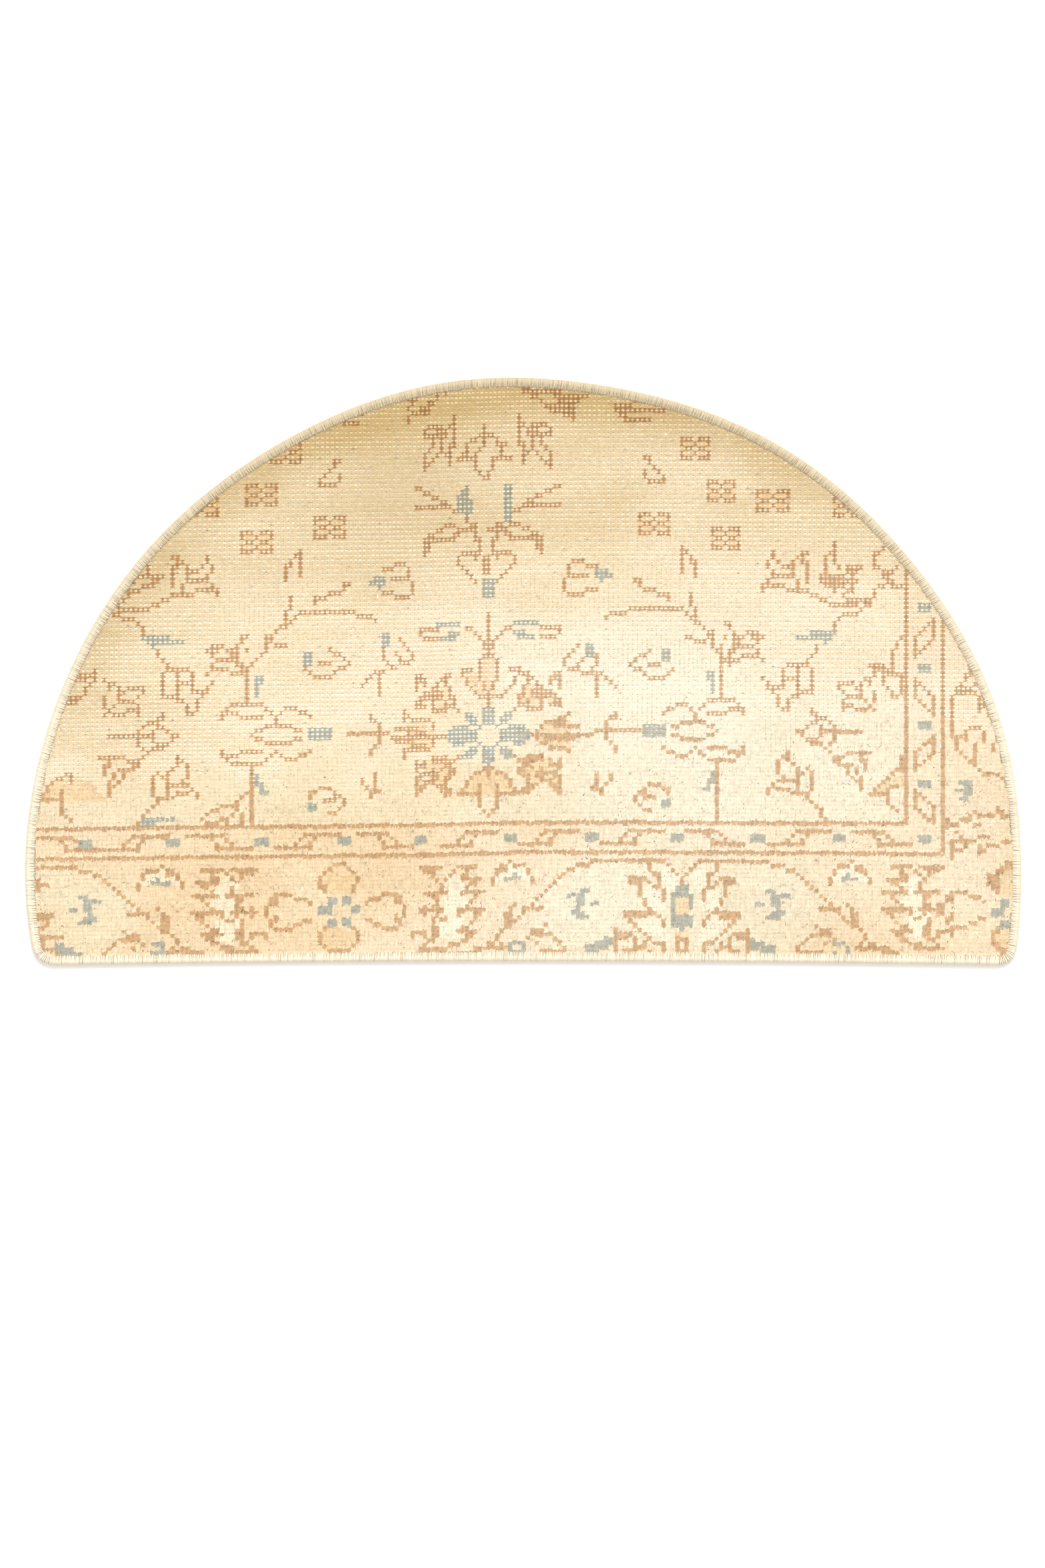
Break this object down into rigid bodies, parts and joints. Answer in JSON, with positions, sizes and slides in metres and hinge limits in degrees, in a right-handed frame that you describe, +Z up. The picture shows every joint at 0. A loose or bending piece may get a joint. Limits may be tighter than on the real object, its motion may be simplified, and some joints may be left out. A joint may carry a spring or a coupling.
{
  "type": "half-round rug",
  "caption": "Flat half-round hand-knotted wool rug with a low worn pile, floral motifs and borders, and a cream overcast edge all round.",
  "frame": {"origin": "middle of the rug's bounding box, on the underside that lies on the floor", "axes": "+Z up out of the pile, +X along the straight edge, towards the right end seen with the round edge away, +Y from the straight edge to the round edge"},
  "size_m": [0.9994, 0.589, 0.0073],
  "materials": {
    "knotted_wool": "matte hand-knotted wool, pale gold with brown and grey-blue motifs",
    "edging_yarn": "matte cream overcasting yarn"
  },
  "bodies": {
    "root": {"knotted_cloth": "knotted_wool", "overcast_edging": "edging_yarn"}
  },
  "joints": []
}
